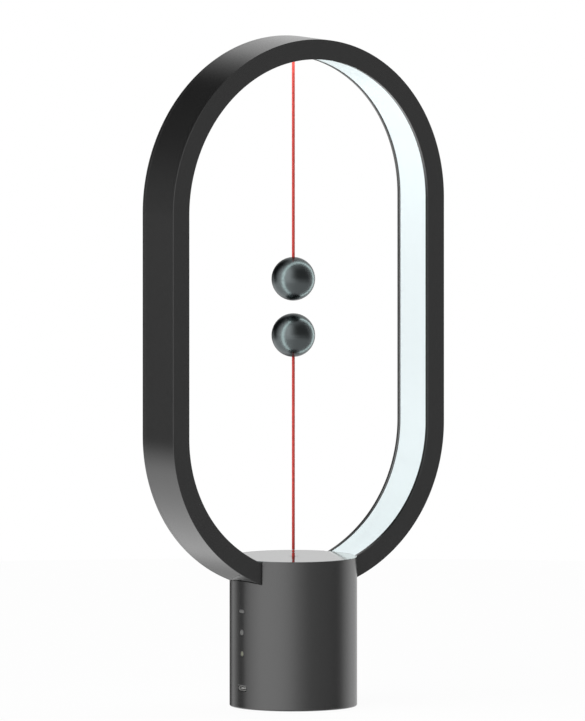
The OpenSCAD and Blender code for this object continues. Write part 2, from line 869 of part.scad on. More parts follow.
module pull_slider() {
    pocket_r = knot_r + 0.4;
    color(NYLON) difference() {
        union() {
            upright(cage_bore / 2 - running, slider_bottom, slider_top);
            block([0, -tab_w / 2, tab_top - tab_t], [tab_reach, tab_w / 2, tab_top]);
        }
        upright(cord_d / 2 + seat, slider_bottom - cut, slider_top + cut);
        upright(pocket_r, slider_bottom - cut, slider_bottom + slider_h / 2);
    }
}

module slider_knot() {
    color(RED) translate([0, 0, slider_bottom + slider_h / 2 - knot_r]) sphere(knot_r, $fn = 32);
}

module lower_cord_inner() {
    color(RED)
        upright(cord_d / 2, slider_bottom + slider_h / 2 + 0.02, lower_bend_z - cord_d / 2 - bend_gap);
}

module micro_switch() {
    ear_x = lever_pin_x - 1;
    color("#3a3a3a") difference() {
        union() {
            block(
                [switch_x, -switch_w / 2, switch_z],
                [switch_x + switch_l, switch_w / 2, switch_z + switch_h]
            );
            for (y = [-switch_w / 2, switch_w / 2 - switch_ear_t])
                block(
                    [ear_x, y, lever_pin_z - 1],
                    [switch_x + switch_l, y + switch_ear_t, switch_z + cut]
                );
            translate([switch_x + 5, 0, 0]) upright(0.7, lever_pin_z + stop_gap, switch_z + cut);
        }
        translate([lever_pin_x, switch_w / 2 + cut, lever_pin_z]) rotate([90, 0, 0])
            cylinder(r = lever_pin_d / 2, h = switch_w + 2 * cut);
        for (x = switch_screw_x)
            translate([x, switch_w / 2 + cut, switch_screw_z]) rotate([90, 0, 0])
                cylinder(r = small_screw_d / 2 + 0.1, h = switch_w + 2 * cut);
    }
}

module lever_pin() {
    color(STEEL) translate([lever_pin_x, switch_w / 2, lever_pin_z]) rotate([90, 0, 0])
        cylinder(r = lever_pin_d / 2, h = switch_w);
}

module switch_lever() {
    color(STEEL) difference() {
        union() {
            block(
                [lever_tip, -lever_w / 2, lever_pin_z - lever_t],
                [lever_pin_x, lever_w / 2, lever_pin_z]
            );
            translate([lever_pin_x, lever_w / 2, lever_pin_z]) rotate([90, 0, 0])
                cylinder(r = knuckle_r, h = lever_w);
        }
        translate([lever_pin_x, lever_w / 2 + cut, lever_pin_z]) rotate([90, 0, 0])
            cylinder(r = lever_pin_d / 2 + running, h = lever_w + 2 * cut);
    }
}

// ---------------------------------------------------------------- cords and balls

// Short piece of cord that bends where the cord leaves its bush
module cord_bend(z) {
    color(RED) translate([0, 0, z]) sphere(cord_d / 2, $fn = 48);
}

module lower_cord_bend() {
    cord_bend(lower_bend_z);
}

module upper_cord_bend() {
    cord_bend(upper_bend_z);
}

module lower_cord() {
    color(RED)
        upright(cord_d / 2, lower_bend_z + cord_d / 2 + bend_gap, lower_ball_z - hub_bottom - 0.02);
}

module upper_cord() {
    color(RED)
        upright(cord_d / 2, upper_ball_z + hub_bottom + 0.02, upper_bend_z - cord_d / 2 - bend_gap);
}

module upper_cord_inner() {
    color(RED) upright(cord_d / 2, upper_bend_z + cord_d / 2 + bend_gap, anchor_pocket - 0.02);
}

module upper_anchor_knot() {
    color(RED) translate([0, 0, anchor_pocket + knot_r]) sphere(knot_r, $fn = 32);
}

// Half of a ball that the cord enters, with its cord pointing up and its middle at the origin
module cord_half() {
    color(GUNMETAL) difference() {
        union() {
            difference() {
                intersection() {
                    sphere(ball_r);
                    upright(ball_r, 0, ball_r);
                }
                intersection() {
                    sphere(ball_r - ball_wall);
                    upright(ball_r, -cut, ball_r);
                }
            }
            intersection() {
                sphere(ball_r - ball_wall / 2);
                difference() {
                    upright(lip_r, -lip_depth, hub_bottom);
                    upright(lip_r - lip_t, -lip_depth - cut, hub_bottom + cut);
                }
            }
            intersection() {
                sphere(ball_r - ball_wall / 2);
                upright(hub_r, hub_bottom, ball_r);
            }
        }
        upright(cord_d / 2 + seat, 0, ball_r + cut);
    }
}

// Half of a ball that holds the magnet, below the same middle
module magnet_half() {
    color(GUNMETAL) difference() {
        intersection() {
            sphere(ball_r);
            upright(ball_r, -ball_r, 0);
        }
        upright(magnet_d / 2 + seat / 2, -ball_r + magnet_cover, cut);
        upright(lip_r + seat / 2, -lip_depth - seat, cut);
    }
}

module magnet() {
    color(STEEL) upright(magnet_d / 2, -ball_r + magnet_cover, -ball_r + magnet_cover + magnet_t);
}

module ball_knot() {
    color(RED) translate([0, 0, hub_bottom - knot_r]) sphere(knot_r, $fn = 32);
}

// Places a ball's piece on the upper ball
module on_upper_ball() {
    translate([0, 0, upper_ball_z]) children();
}

// Places a ball's piece upside down on the lower ball
module on_lower_ball() {
    translate([0, 0, lower_ball_z]) rotate([180, 0, 0]) children();
}

module upper_ball_cord_half() {
    on_upper_ball() cord_half();
}

module upper_ball_magnet_half() {
    on_upper_ball() magnet_half();
}

module upper_magnet() {
    on_upper_ball() magnet();
}

module upper_ball_knot() {
    on_upper_ball() ball_knot();
}

module lower_ball_cord_half() {
    on_lower_ball() cord_half();
}

module lower_ball_magnet_half() {
    on_lower_ball() magnet_half();
}

module lower_magnet() {
    on_lower_ball() magnet();
}

module lower_ball_knot() {
    on_lower_ball() ball_knot();
}

// ---------------------------------------------------------------- screws and wires

module bottom_screws() {
    color(STEEL) for (angle = post_angles)
        rotate(angle) translate([post_r, 0, foot_t + head_h]) screw(screw_d, cover_t + post_h / 2);
}

module loop_screws() {
    color(STEEL) for (side = [-1, 1])
        translate([side * boss_x, 0, saddle_bottom]) screw(screw_d, saddle_t + boss_l);
}

module saddle_screws() {
    color(STEEL) for (side = [-1, 1])
        translate([0, side * saddle_screw_y, saddle_bottom - ledge_h])
            screw(screw_d, ledge_h + saddle_t);
}

module cap_screws() {
    color(STEEL) for (side = [-1, 1])
        translate([0, side * cap_post_y, saddle_bottom]) screw(screw_d, saddle_t + cap_screw_grip - 2);
}

module board_screws() {
    color(STEEL) for (y = [-board_screw_y, board_screw_y], z = board_screw_z)
        translate([board_in, y, z]) rotate([0, -90, 0]) screw(small_screw_d, board_t + 2.8);
}

module cradle_screws() {
    color(STEEL) for (side = [-1, 1])
        translate([cell_x + side * cradle_foot_x, 0, foot_t + head_h])
            screw(screw_d, weight_top + 3 - foot_t - head_h);
}

module cage_screws() {
    color(STEEL) for (side = [-1, 1])
        translate([0, side * cage_screw_r, saddle_bottom - cage_flange_t])
            screw(small_screw_d, cage_flange_t + saddle_t - 0.8);
}

module switch_screws() {
    color(STEEL) for (x = switch_screw_x)
        translate([x, -switch_w / 2, switch_screw_z]) rotate([-90, 0, 0])
            screw(small_screw_d, switch_w + bracket_t);
}

module inner_leads() {
    board_x = board_in + wire_r;
    strip_end = [lead_x, 0, loop_low(lead_x, band_t) + strip_t];
    elbow = [lead_x, 0, saddle_bottom - 8];
    color(WIRE_WHITE) {
        translate(elbow) upright(wire_r, 0, strip_end[2] - elbow[2]);
        wire([board_x, 0, saddle_bottom - 15], elbow);
        for (side = [-1, 1]) {
            contact_y = side * (cradle_half - cradle_wall - wire_r);
            bend = [cell_x - cell_r - 2, contact_y, cell_z + 4];
            wire([cell_x - contact_w / 2 - wire_r, contact_y, cell_z + contact_w / 3], bend);
            wire([board_x, side * board_screw_y, cell_z + cell_r / 2], bend);
        }
    }
}

// ---------------------------------------------------------------- nodes

loop_channel();
loop_back_cover();
diffuser();
led_strip();
led_chips();
upper_anchor();
upper_bush();
base_shell();
top_cap();
cord_eyelet();
loop_saddle();
bottom_cover();
foot_pad();
iron_weight();
battery();
battery_cradle();
battery_contacts();
control_board();
board_parts();
charging_port();
tact_switches();
charge_led();
charge_light();
power_button();
power_plunger();
mode_button();
mode_plunger();
cord_guide();
slider_cage();
return_spring();
pull_slider();
slider_knot();
lower_cord_inner();
micro_switch();
lever_pin();
switch_lever();
lower_cord_bend();
lower_cord();
lower_ball_cord_half();
lower_ball_magnet_half();
lower_magnet();
lower_ball_knot();
upper_cord_inner();
upper_anchor_knot();
upper_cord_bend();
upper_cord();
upper_ball_cord_half();
upper_ball_magnet_half();
upper_magnet();
upper_ball_knot();
bottom_screws();
loop_screws();
saddle_screws();
cap_screws();
board_screws();
cradle_screws();
cage_screws();
switch_screws();
inner_leads();
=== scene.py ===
"""Balance lamp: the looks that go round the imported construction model.

A lit oblong loop stands in a round base. Two dark balls on red cords hang inside it and are held
apart by a small air gap across which their magnets pull. Everything is in metres, in the frame of
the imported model: +Z is up, the loop faces -Y and the controls face -X. Sizes are typed in
millimetres and turned to metres by MM.
"""
from __future__ import annotations

import json
import logging
import math
from dataclasses import dataclass
from enum import Enum
from typing import Any, Sequence

import bmesh
import bpy
import numpy as np
from mathutils import Matrix, Vector

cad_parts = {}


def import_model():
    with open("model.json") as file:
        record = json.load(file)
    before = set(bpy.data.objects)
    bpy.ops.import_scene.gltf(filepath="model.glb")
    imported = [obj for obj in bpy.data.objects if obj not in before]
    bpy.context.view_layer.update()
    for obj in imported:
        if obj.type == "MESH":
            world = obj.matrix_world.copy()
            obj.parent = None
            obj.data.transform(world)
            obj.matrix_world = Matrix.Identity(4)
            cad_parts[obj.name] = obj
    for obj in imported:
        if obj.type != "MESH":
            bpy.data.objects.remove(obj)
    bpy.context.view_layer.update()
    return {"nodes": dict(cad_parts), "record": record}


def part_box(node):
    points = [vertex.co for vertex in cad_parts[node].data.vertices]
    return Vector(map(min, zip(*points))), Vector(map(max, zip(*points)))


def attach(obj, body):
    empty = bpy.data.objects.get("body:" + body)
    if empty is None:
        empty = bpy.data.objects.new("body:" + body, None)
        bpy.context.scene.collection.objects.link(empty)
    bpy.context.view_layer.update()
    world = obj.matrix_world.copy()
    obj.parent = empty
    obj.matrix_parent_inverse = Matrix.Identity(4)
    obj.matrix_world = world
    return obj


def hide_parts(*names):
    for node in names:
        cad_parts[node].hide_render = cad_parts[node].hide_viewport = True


LOG = logging.getLogger("balance_lamp")
MM = 0.001
WHITE = (1.0, 1.0, 1.0, 1.0)
# Strands of a braid that wind each way round its cord.
STRANDS = 4

# ---- colours and nodes


def linear(code: str) -> tuple[float, float, float, float]:
    """Turns an sRGB hex colour to linear light.

    Args:
        code: colour as "#rrggbb".

    Returns:
        Red, green, blue and an alpha of one.
    """
    value = np.array([int(code[i:i + 2], 16) for i in (1, 3, 5)]) / 255.0
    value = np.where(value <= 0.04045, value / 12.92, ((value + 0.055) / 1.055) ** 2.4)
    return (*(float(v) for v in value), 1.0)


def add_node(
    tree: bpy.types.NodeTree, kind: str, inputs: dict[Any, Any] | None = None, **settings: Any
) -> bpy.types.Node:
    """Adds a node with its settings, values and links.

    Args:
        tree: node tree that gets the node.
        kind: Blender's name of the node type.
        inputs: input socket, by name or number, to a value or to the socket that feeds it.
        settings: properties of the node.

    Returns:
        The new node.
    """
    node = tree.nodes.new(kind)
    for name, value in settings.items():
        setattr(node, name, value)
    for name, value in (inputs or {}).items():
        if isinstance(value, bpy.types.NodeSocket):
            tree.links.new(value, node.inputs[name])
        else:
            node.inputs[name].default_value = value
    return node


def combine(tree: bpy.types.NodeTree, operation: str, *values: Any) -> bpy.types.NodeSocket:
    """Adds a math node.

    Args:
        tree: node tree that gets the node.
        operation: Blender's name of the operation.
        values: numbers, or the sockets that feed the node, in its order of inputs.

    Returns:
        Socket of the result.
    """
    node = add_node(tree, "ShaderNodeMath", dict(enumerate(values)), operation=operation)
    return node.outputs[0]


def fill_ramp(node: bpy.types.Node, stops: Sequence[tuple[float, float]]) -> None:
    """Sets a colour ramp's grey stops.

    Args:
        node: the ramp.
        stops: place and grey level of each stop, in rising order.
    """
    elements = node.color_ramp.elements
    while len(elements) < len(stops):
        elements.new(1.0)
    for element, (place, level) in zip(elements, stops):
        element.position = place
        element.color = (level, level, level, 1.0)


# ---- finishes


class Relief(Enum):
    """Pattern of a finish's surface."""

    GRAIN = "fine even grain of a spark-eroded mould"
    POLISH = "polished or plated, with faint hairlines"
    BRUSH = "drawn or turned metal, with lines along Z"
    CAST = "coarse cast or pressed skin"
    BRAID = "round braid about the Z axis"
    WOVEN = "glass cloth under a thin resin coat"


# How far a pattern of noise is drawn out along Z: the smaller the number, the longer its lines.
STRETCH = {Relief.GRAIN: (1, 1, 1), Relief.POLISH: (1, 1, 0.15), Relief.BRUSH: (1, 1, 0.04)}
# The wave node's phase, in radians, is this many times the scaled coordinate.
WAVE_UNIT = 20
# Clouds of tone to a metre, the roughness of every clear coat, and the rays of a softened edge.
CLOUDS = 38.0
COAT_ROUGHNESS = 0.08
EDGE_RAYS = 8


@dataclass(frozen=True)
class Finish:
    """One finish: what the real material is and what that gives the eye.

    Lengths are in millimetres. tone is how far the colour wanders, as a share of it, edge is
    the radius to which sharp moulded edges are softened, and rim is how bright the reflections stay
    at a glancing angle.
    """

    name: str
    colour: str
    relief: Relief
    roughness: float
    pattern: float = 0.4
    depth: float = 0.01
    tone: float = 0.06
    spread: float = 0.05
    ior: float = 1.5
    metallic: float = 0.0
    coat: float = 0.0
    sheen: float = 0.0
    emission: str = ""
    strength: float = 0.0
    edge: float = 0.0
    rim: float = 1.0

    def material(self) -> bpy.types.Material:
        """Builds the finish as a material, once for each name.

        Returns:
            The material, with colour, roughness and relief from the pattern.
        """
        known = bpy.data.materials.get(self.name)
        if known is not None:
            return known
        made = bpy.data.materials.new(self.name)
        made.use_nodes = True
        tree = made.node_tree
        shader = tree.nodes["Principled BSDF"]
        place = add_node(tree, "ShaderNodeTexCoord").outputs["Object"]
        height, shade = self.pattern_sockets(tree, place)
        # Colour wanders between a darker and a lighter tone over a few centimetres, times the
        # relief's shade, so on the braid painted shade darkens the gaps between strands.
        cloud = add_node(
            tree, "ShaderNodeTexNoise", {"Vector": place, "Scale": CLOUDS, "Detail": 2.0}
        )
        tone_and_shade = combine(tree, "MULTIPLY", cloud.outputs["Fac"], shade)
        low, high = self.tones()
        mix = add_node(
            tree, "ShaderNodeMix", {"Factor": tone_and_shade, "A": low, "B": high}, data_type="RGBA"
        )
        tree.links.new(mix.outputs["Result"], shader.inputs["Base Color"])
        rough = add_node(
            tree, "ShaderNodeMapRange",
            {"Value": shade, "To Min": self.roughness - self.spread / 2,
             "To Max": self.roughness + self.spread / 2},
        )
        tree.links.new(rough.outputs["Result"], shader.inputs["Roughness"])
        bump = add_node(tree, "ShaderNodeBump", {"Height": height, "Distance": self.depth * MM})
        if self.edge:
            soft = add_node(tree, "ShaderNodeBevel", {"Radius": self.edge * MM}, samples=EDGE_RAYS)
            tree.links.new(soft.outputs["Normal"], bump.inputs["Normal"])
        tree.links.new(bump.outputs["Normal"], shader.inputs["Normal"])
        plain: dict[str, Any] = {
            "Metallic": self.metallic, "IOR": self.ior,
            "Specular Tint": (self.rim, self.rim, self.rim, 1.0),
            "Coat Weight": self.coat, "Coat Roughness": COAT_ROUGHNESS,
            "Sheen Weight": self.sheen,
        }
        if self.emission:
            plain["Emission Color"] = linear(self.emission)
            plain["Emission Strength"] = self.strength
        for name, value in plain.items():
            shader.inputs[name].default_value = value
        made.diffuse_color = linear(self.colour)
        return made

    def tones(self) -> tuple[tuple[float, ...], tuple[float, ...]]:
        """Darker and lighter tone round the finish's colour, as linear colours."""
        base = np.array(linear(self.colour))
        low, high = base * (1 - self.tone), np.minimum(base * (1 + self.tone), 1.0)
        low[3] = high[3] = 1.0
        return tuple(map(float, low)), tuple(map(float, high))

    def pattern_sockets(
        self, tree: bpy.types.NodeTree, place: bpy.types.NodeSocket
    ) -> tuple[bpy.types.NodeSocket, bpy.types.NodeSocket]:
        """Adds the nodes of the relief.

        Args:
            tree: the material's tree.
            place: Object coordinates, in metres.

        Returns:
            Sockets of the height and of a zero to one shade that follows it.
        """
        scale = 1.0 / (self.pattern * MM)
        if self.relief is Relief.BRAID:
            return self.braid_sockets(tree, place)
        if self.relief is Relief.WOVEN:
            waves = [
                add_node(
                    tree, "ShaderNodeTexWave", {"Vector": place, "Scale": scale / WAVE_UNIT},
                    wave_type="BANDS", bands_direction=way,
                ).outputs["Fac"]
                for way in ("Y", "Z")
            ]
            cloth = combine(tree, "MULTIPLY", *waves)
            return cloth, cloth
        if self.relief is Relief.CAST:
            cells = add_node(tree, "ShaderNodeTexVoronoi", {"Vector": place, "Scale": scale})
            noise = add_node(
                tree, "ShaderNodeTexNoise", {"Vector": place, "Scale": scale * 2, "Detail": 4.0}
            )
            return cells.outputs["Distance"], noise.outputs["Fac"]
        drawn = add_node(
            tree, "ShaderNodeMapping", {"Vector": place, "Scale": STRETCH[self.relief]}
        )
        noise = add_node(
            tree, "ShaderNodeTexNoise",
            {"Vector": drawn.outputs["Vector"], "Scale": scale, "Detail": 3.0, "Roughness": 0.6},
        )
        return noise.outputs["Fac"], noise.outputs["Fac"]

    def braid_sockets(
        self, tree: bpy.types.NodeTree, place: bpy.types.NodeSocket
    ) -> tuple[bpy.types.NodeSocket, bpy.types.NodeSocket]:
        """Adds a braid of strands that wind both ways round the Z axis.

        The height is the larger of sin(n angle + k z) and sin(n angle - k z), where n is STRANDS
        and k is one turn for each pattern length.

        Args:
            tree: the material's tree.
            place: Object coordinates, in metres.

        Returns:
            Sockets of the height and of the same value between zero and one.
        """
        split = add_node(tree, "ShaderNodeSeparateXYZ", {0: place})
        angle = combine(tree, "ARCTAN2", split.outputs["Y"], split.outputs["X"])
        winding = 2 * math.pi / (self.pattern * MM)
        strands = []
        for way in (1, -1):
            lay = combine(tree, "MULTIPLY", split.outputs["Z"], way * winding)
            phase = combine(tree, "MULTIPLY_ADD", angle, STRANDS, lay)
            strands.append(combine(tree, "SINE", phase))
        top = combine(tree, "MAXIMUM", *strands)
        # The shade also sets the colour: painted shade in the gaps between strands.
        shade = add_node(tree, "ShaderNodeMapRange", {"Value": top, "From Min": -1.0})
        return top, shade.outputs["Result"]


class Slot(Enum):
    """Material slots of the record and the finish that each one gets."""

    # Satin ABS out of a spark-eroded mould: near black, soft wide reflections.
    LOOP = Finish("abs_satin_black", "#202020", Relief.GRAIN, 0.22, 0.35, 0.004, ior=1.7)
    # The same plastic on the base, with a little coarser grain.
    BASE = Finish(
        "abs_satin_graphite", "#272727", Relief.GRAIN, 0.22, 0.4, 0.005, ior=1.7, edge=0.5
    )
    # Polished ABS: at a low angle it mirrors the room almost like glass.
    CAP = Finish(
        "abs_polished_graphite", "#232323", Relief.POLISH, 0.09, 1.2, 0.001, spread=0.03, ior=1.7,
        edge=0.3,
    )
    # Opal polycarbonate lit from behind: even cool white, no lamp points visible.
    OPAL = Finish(
        "opal_polycarbonate", "#b6babb", Relief.GRAIN, 0.38, 0.5, 0.002, tone=0.01,
        emission="#e6f4f8", strength=0.365,
    )
    # Flexible white circuit strip with a thin resin coat.
    STRIP = Finish("strip_resin_white", "#e6e6de", Relief.WOVEN, 0.4, 0.5, 0.01)
    # Phosphor of a white light chip, glowing.
    PHOSPHOR = Finish(
        "phosphor_yellow", "#f3e3a0", Relief.GRAIN, 0.5, 0.2, 0.01,
        emission="#fff3d0", strength=2.0,
    )
    # Unfilled nylon: milky, waxy shine.
    NYLON = Finish("nylon_natural", "#e6e4dc", Relief.GRAIN, 0.42, 0.6, 0.006, sheen=0.1)
    # Zinc plated or stainless steel with drawing lines.
    STEEL = Finish("steel_bright", "#b9bbbd", Relief.BRUSH, 0.24, 0.25, 0.004, metallic=1.0)
    # Rubber foot: dead matt with a pebbled skin.
    RUBBER = Finish("rubber_foot", "#1e1e1f", Relief.CAST, 0.78, 0.8, 0.03, spread=0.1)
    # Raw cast iron, dull and open grained.
    IRON = Finish("iron_cast", "#5b5d5f", Relief.CAST, 0.6, 1.1, 0.05, metallic=1.0, spread=0.2)
    # Shrunk PVC sleeve of the cell.
    SLEEVE = Finish("pvc_sleeve_blue", "#3f6fb0", Relief.POLISH, 0.28, 1.5, 0.006, coat=0.3)
    # Glass cloth laminate under green solder mask.
    BOARD = Finish("laminate_green", "#2f6b45", Relief.WOVEN, 0.32, 0.45, 0.012, coat=0.4)
    # Black epoxy of chip packages and switches.
    EPOXY = Finish("epoxy_black", "#262626", Relief.GRAIN, 0.5, 0.15, 0.006)
    # Clear moulded acrylic that leads the charge light through the wall.
    PIPE = Finish(
        "acrylic_frosted", "#6f7061", Relief.GRAIN, 0.35, 0.3, 0.003,
        emission="#dfe6c8", strength=0.02,
    )
    # Grey ABS of the two push buttons.
    BUTTON = Finish("abs_button_grey", "#656564", Relief.GRAIN, 0.36, 0.25, 0.004)
    # Braided nylon cord dyed red: matt strands, and painted shade that darkens the gaps between
    # them.
    CORD = Finish(
        "nylon_braid_red", "#b93f39", Relief.BRAID, 0.66, 1.41, 0.05, tone=0.2, ior=1.3
    )
    # Gunmetal plating over polished plastic: dark mirror with faint hairlines.
    BALL = Finish(
        "plating_gunmetal", "#585d5e", Relief.POLISH, 0.26, 2.0, 0.0005, metallic=1.0,
        spread=0.02, tone=0.04, rim=0.7,
    )
    # Tin plated mouth of the charging port, dull from its blasted skin.
    PORT = Finish("tin_satin", "#a6a6a4", Relief.GRAIN, 0.5, 0.2, 0.004, metallic=0.3)
    # Nickel on a sintered magnet.
    NICKEL = Finish("nickel_plate", "#c6c3bb", Relief.POLISH, 0.16, 1.0, 0.002, metallic=1.0)
    # Soft PVC insulation of the leads.
    WIRE = Finish("pvc_wire_white", "#f0f0ee", Relief.GRAIN, 0.4, 0.5, 0.004)


SLOT_OF = {
    "loop_plastic": Slot.LOOP, "opal_diffuser": Slot.OPAL, "strip_board": Slot.STRIP,
    "led_phosphor": Slot.PHOSPHOR, "base_plastic": Slot.BASE, "cap_plastic": Slot.CAP,
    "white_nylon": Slot.NYLON, "bright_steel": Slot.STEEL, "foot_rubber": Slot.RUBBER,
    "weight_iron": Slot.IRON, "battery_sleeve": Slot.SLEEVE, "board_green": Slot.BOARD,
    "black_component": Slot.EPOXY, "light_pipe": Slot.PIPE, "button_grey": Slot.BUTTON,
    "red_cord": Slot.CORD, "ball_gunmetal": Slot.BALL, "magnet_nickel": Slot.NICKEL,
    "wire_white": Slot.WIRE,
}

# ---- surfaces


# Points nearer to each other than this, in metres, are one.
WELD = 1e-6
# Radius, in millimetres, that stands for a sharp corner, and the parts of a rounded corner's arc.
SHARP = 1e-6
ROUND_STEPS = 4
# Cosine past which two sides count as one straight line.
STRAIGHT = 0.9999


@dataclass
class Surface:
    """A grid of points, rows by columns by three, whose last column joins the first.

    close_rows says whether its last row joins the first too.
    """

    points: np.ndarray
    close_rows: bool = False

    def faces(self) -> np.ndarray:
        """Four corner numbers of each face between neighbouring rows and columns."""
        rows, columns = self.points.shape[:2]
        i = np.arange(rows if self.close_rows else rows - 1)
        a, b = np.meshgrid(i, np.arange(columns), indexing="ij")
        c, d = (a + 1) % rows, (b + 1) % columns
        corners = (a * columns + b, a * columns + d, c * columns + d, c * columns + b)
        return np.stack(corners, -1).reshape(-1, 4)


def rounded(
    corners: Sequence[tuple[float, float, float]], closed: bool = True, hold: float = 0.06
) -> np.ndarray:
    """Outline with rounded corners.

    The tangent length of a corner is its radius over the tangent of its half angle, its arc's
    centre lies on the bisector at the radius over the half angle's sine, and the arc is turned
    from one tangent point to the other. A holding point beside each arc keeps flats flat.

    Args:
        corners: two coordinates and a radius for each corner, in millimetres.
        closed: whether the last corner joins the first. An open line keeps its two ends sharp.
        hold: distance of the holding points from the arcs, in millimetres.

    Returns:
        Points of the outline, in millimetres.
    """
    data = np.asarray(corners, float)
    spot, radius = data[:, :2], np.maximum(data[:, 2:3], SHARP)
    back, ahead = np.roll(spot, 1, 0) - spot, np.roll(spot, -1, 0) - spot
    back /= np.linalg.norm(back, axis=1, keepdims=True)
    ahead /= np.linalg.norm(ahead, axis=1, keepdims=True)
    cosine = (back * ahead).sum(1, keepdims=True)
    half = np.arccos(np.clip(cosine, -STRAIGHT, STRAIGHT)) / 2
    reach = radius / np.tan(half)
    middle = (back + ahead) / np.linalg.norm(back + ahead, axis=1, keepdims=True)
    centre = spot + middle * radius / np.sin(half)
    start, end = spot + back * reach - centre, spot + ahead * reach - centre
    turn = (np.pi - 2 * half)[:, None, :]
    k = np.linspace(0, 1, ROUND_STEPS + 1)[None, :, None]
    arc = (np.sin((1 - k) * turn) * start[:, None] + np.sin(k * turn) * end[:, None]) / np.sin(turn)
    before, after = spot + back * (reach + hold), spot + ahead * (reach + hold)
    line = np.concatenate([before[:, None], arc + centre[:, None], after[:, None]], 1)
    if closed:
        return line.reshape(-1, 2)
    inner = line[1:-1].reshape(-1, 2)
    return np.concatenate([spot[:1], inner, spot[-1:]])


def arc_line(radius: float, start: float, end: float, count: int) -> np.ndarray:
    """Points on a circle about the origin between two angles in degrees."""
    angle = np.radians(np.linspace(start, end, count))
    return radius * np.stack([np.cos(angle), np.sin(angle)], 1)


class Axis(Enum):
    """Axis that a turned piece is turned about."""

    Z = "up"
    X = "side to side"


def turned(
    profile: np.ndarray, closed: bool, axis: Axis = Axis.Z,
    centre: tuple[float, float, float] = (0.0, 0.0, 0.0), count: int = 96, stretch: float = 0.0,
) -> Surface:
    """Surface of a profile carried round an axis.

    A point at radius r and angle a stands at (r cos a, r sin a) from the axis. With a stretch the
    two halves are moved apart along the first of these by it, which gives half round ends.

    Args:
        profile: radius and height of each point, in millimetres.
        closed: whether the profile's last point joins its first.
        axis: the axis.
        centre: what is added to every point, in millimetres.
        count: number of columns round the axis.
        stretch: distance in millimetres from the middle to the centre of each rounded end.

    Returns:
        The surface, in metres.
    """
    angle = (np.arange(count) + 0.5) * 2 * np.pi / count
    across = profile[:, :1] * np.cos(angle) + stretch * np.sign(np.cos(angle))
    along = profile[:, :1] * np.sin(angle)
    height = np.repeat(profile[:, 1:2], count, 1)
    order = (across, along, height) if axis is Axis.Z else (height, across, along)
    points = (np.stack(order, -1) + np.asarray(centre)) * MM
    return Surface(points, close_rows=closed)


def build_mesh(name: str, surfaces: Sequence[Surface]) -> bpy.types.Object:
    """Joins surfaces into one smooth mesh with closed seams and outward faces.

    Args:
        name: name of the object.
        surfaces: its surfaces.

    Returns:
        The object, at the origin.
    """
    sizes = [surface.points.shape[0] * surface.points.shape[1] for surface in surfaces]
    starts = np.cumsum([0] + sizes[:-1])
    points = np.concatenate([surface.points.reshape(-1, 3) for surface in surfaces])
    faces = np.concatenate([surface.faces() + start for surface, start in zip(surfaces, starts)])
    mesh = bpy.data.meshes.new(name)
    mesh.from_pydata(points, [], faces.tolist())
    shape = bmesh.new()
    shape.from_mesh(mesh)
    bmesh.ops.remove_doubles(shape, verts=shape.verts, dist=WELD)
    bmesh.ops.recalc_face_normals(shape, faces=shape.faces)
    shape.to_mesh(mesh)
    shape.free()
    mesh.shade_smooth()
    piece = bpy.data.objects.new(name, mesh)
    bpy.context.scene.collection.objects.link(piece)
    return piece


def make(
    name: str, surfaces: Sequence[Surface], slot: Slot, body: str, *nodes: str
) -> bpy.types.Object:
    """Makes a piece of the looks.

    Args:
        name: its name.
        surfaces: its surfaces.
        slot: its finish.
        body: body that it moves with.
        nodes: construction nodes that it replaces.

    Returns:
        The piece.
    """
    piece = build_mesh(name, surfaces)
    piece.data.materials.append(slot.value.material())
    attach(piece, body)
    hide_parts(*nodes)
    LOG.info("%s: %s on %s, for %s", piece.name, slot.value.name, body, ", ".join(nodes))
    return piece


# ---- camera, lights and floor


@dataclass(frozen=True)
class Tier:
    """Light from one range of heights, by the side that it comes from in degrees.

    low and high bound the rise over which it takes over from the tier below.
    """

    low: float
    high: float
    levels: tuple[tuple[float, float], ...]


ROOM = (
    Tier(-1.0, -1.0, (
        (-180, 0.4), (-168, 0.58), (-162, 0.9), (-155, 1.66), (-145, 1.78), (-130, 1.74),
        (-113, 1.35), (-60, 1.44), (-25, 1.07), (10, 0.83), (90, 0.76), (180, 1.2),
    )),
    Tier(-0.32, -0.13, (
        (-180, 0.1), (-153, 0.09), (-147, 0.53), (-139, 0.84), (-128, 0.55), (-117, 0.1),
        (-105, 0.07), (-99, 0.46), (-95, 0.81), (-86, 1.23), (-63, 1.93), (-43, 2.03),
        (-24, 1.96), (-6, 1.67), (12, 1.01), (30, 0.54), (50, 0.43), (72, 0.35), (84, 0.25),
        (94, 0.39), (108, 1.03), (126, 1.35), (150, 0.94), (180, 0.8),
    )),
    Tier(-0.05, 0.12, (
        (-180, 1.01), (-170, 0.94), (-160, 0.37), (-147, 0.0), (-112, 0.0), (-105, 0.14),
        (-96, 0.72), (-80, 1.36), (-60, 2.05), (-25, 2.08), (-8, 1.07), (8, 0.36), (25, 0.18),
        (85, 0.19), (100, 0.53), (130, 0.86), (165, 0.98), (180, 1.01),
    )),
    Tier(0.75, 0.97, ((-180, 0.66), (180, 0.66))),
)


def area_lamp(name: str, size: tuple[float, float], energy: float) -> bpy.types.Object:
    """Adds a rectangular lamp that the camera doesn't see.

    Args:
        name: its name.
        size: its width and height, in metres.
        energy: its power, in watts.

    Returns:
        The lamp, at the origin.
    """
    data = bpy.data.lights.new(name, "AREA")
    data.shape, data.size, data.size_y = "RECTANGLE", *size
    data.energy = energy
    lamp = bpy.data.objects.new(name, data)
    lamp.visible_camera = False
    bpy.context.scene.collection.objects.link(lamp)
    return lamp


